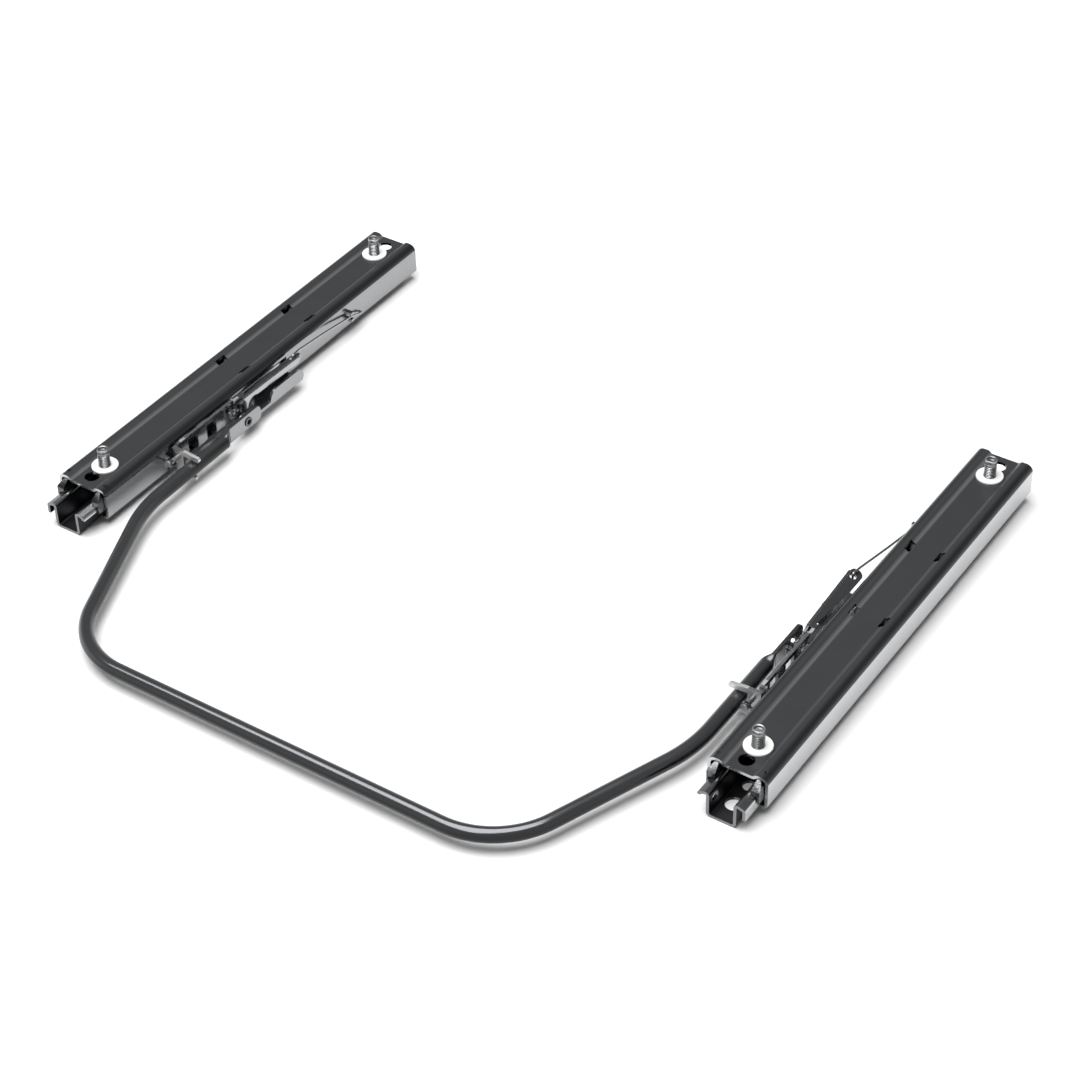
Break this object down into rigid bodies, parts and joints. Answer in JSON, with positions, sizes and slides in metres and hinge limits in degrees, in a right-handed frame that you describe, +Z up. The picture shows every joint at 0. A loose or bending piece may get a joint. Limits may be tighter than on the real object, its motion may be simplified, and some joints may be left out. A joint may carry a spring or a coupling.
{
  "type": "seat slide rail",
  "caption": "Pair of wrapped steel seat slide rails with lock levers, studs and a U-shaped release bar in front.",
  "frame": {"origin": "centre of the four floor bolt holes, at floor level", "axes": "+X to the right across the seat, +Y to the rear along the rails, +Z up"},
  "size_m": [0.534, 0.462, 0.041],
  "materials": {
    "black_steel": "gloss black electrocoat over folded steel sheet and tube",
    "zinc_steel": "bright zinc plate, satin",
    "bright_steel": "bare bright metal, rubbed",
    "white_nylon": "white nylon, smooth"
  },
  "bodies": {
    "floor_rails": {"left_lower_rail": "black_steel", "right_lower_rail": "black_steel", "left_rear_inner_shoe": "bright_steel", "left_rear_outer_shoe": "bright_steel", "right_rear_inner_shoe": "bright_steel", "right_rear_outer_shoe": "bright_steel"},
    "left_seat_rail": {"left_upper_rail": "black_steel", "left_return_spring": "black_steel", "left_bar_rivet": "zinc_steel", "left_front_stud": "zinc_steel", "left_front_washer": "white_nylon", "left_front_lever_pin": "zinc_steel", "left_rear_stud": "zinc_steel", "left_rear_washer": "white_nylon", "left_rear_lever_pin": "zinc_steel", "left_front_inner_shoe": "bright_steel", "left_front_outer_shoe": "bright_steel"},
    "right_seat_rail": {"right_upper_rail": "black_steel", "right_return_spring": "black_steel", "right_bar_rivet": "zinc_steel", "right_front_stud": "zinc_steel", "right_front_washer": "white_nylon", "right_front_lever_pin": "zinc_steel", "right_rear_stud": "zinc_steel", "right_rear_washer": "white_nylon", "right_rear_lever_pin": "zinc_steel", "right_front_inner_shoe": "bright_steel", "right_front_outer_shoe": "bright_steel"},
    "bar": {"release_bar": "black_steel"},
    "left_lever": {"left_lock_lever": "black_steel"},
    "right_lever": {"right_lock_lever": "black_steel"}
  },
  "joints": [
    {"name": "left_slide", "type": "slide", "parent": "floor_rails", "child": "left_seat_rail", "axis": [0, 1, 0], "range_m": [-0.019, 0.152]},
    {"name": "right_slide", "type": "slide", "parent": "floor_rails", "child": "right_seat_rail", "axis": [0, 1, 0], "range_m": [-0.019, 0.152]},
    {"name": "bar_hinge", "type": "hinge", "parent": "left_seat_rail", "child": "bar", "pos_m": [-0.2114, -0.029, 0.0136], "axis": [-1, 0, 0], "range_deg": [-1.5, 1.45], "stiffness_Nm_per_rad": 100, "springref_deg": 0.43},
    {"name": "left_lever_hinge", "type": "hinge", "parent": "left_seat_rail", "child": "left_lever", "pos_m": [-0.22, -0.0601, 0.019], "axis": [0, -1, 0], "range_deg": [-8.3, 8]},
    {"name": "right_lever_hinge", "type": "hinge", "parent": "right_seat_rail", "child": "right_lever", "pos_m": [0.22, -0.0601, 0.019], "axis": [0, 1, 0], "range_deg": [-8.3, 8]}
  ],
  "couplings": [
    {"joint": "right_slide", "follows": "left_slide", "ratio": 1},
    {"joint": "left_lever_hinge", "follows": "bar_hinge", "ratio": 5.5},
    {"joint": "right_lever_hinge", "follows": "bar_hinge", "ratio": 5.5}
  ]
}
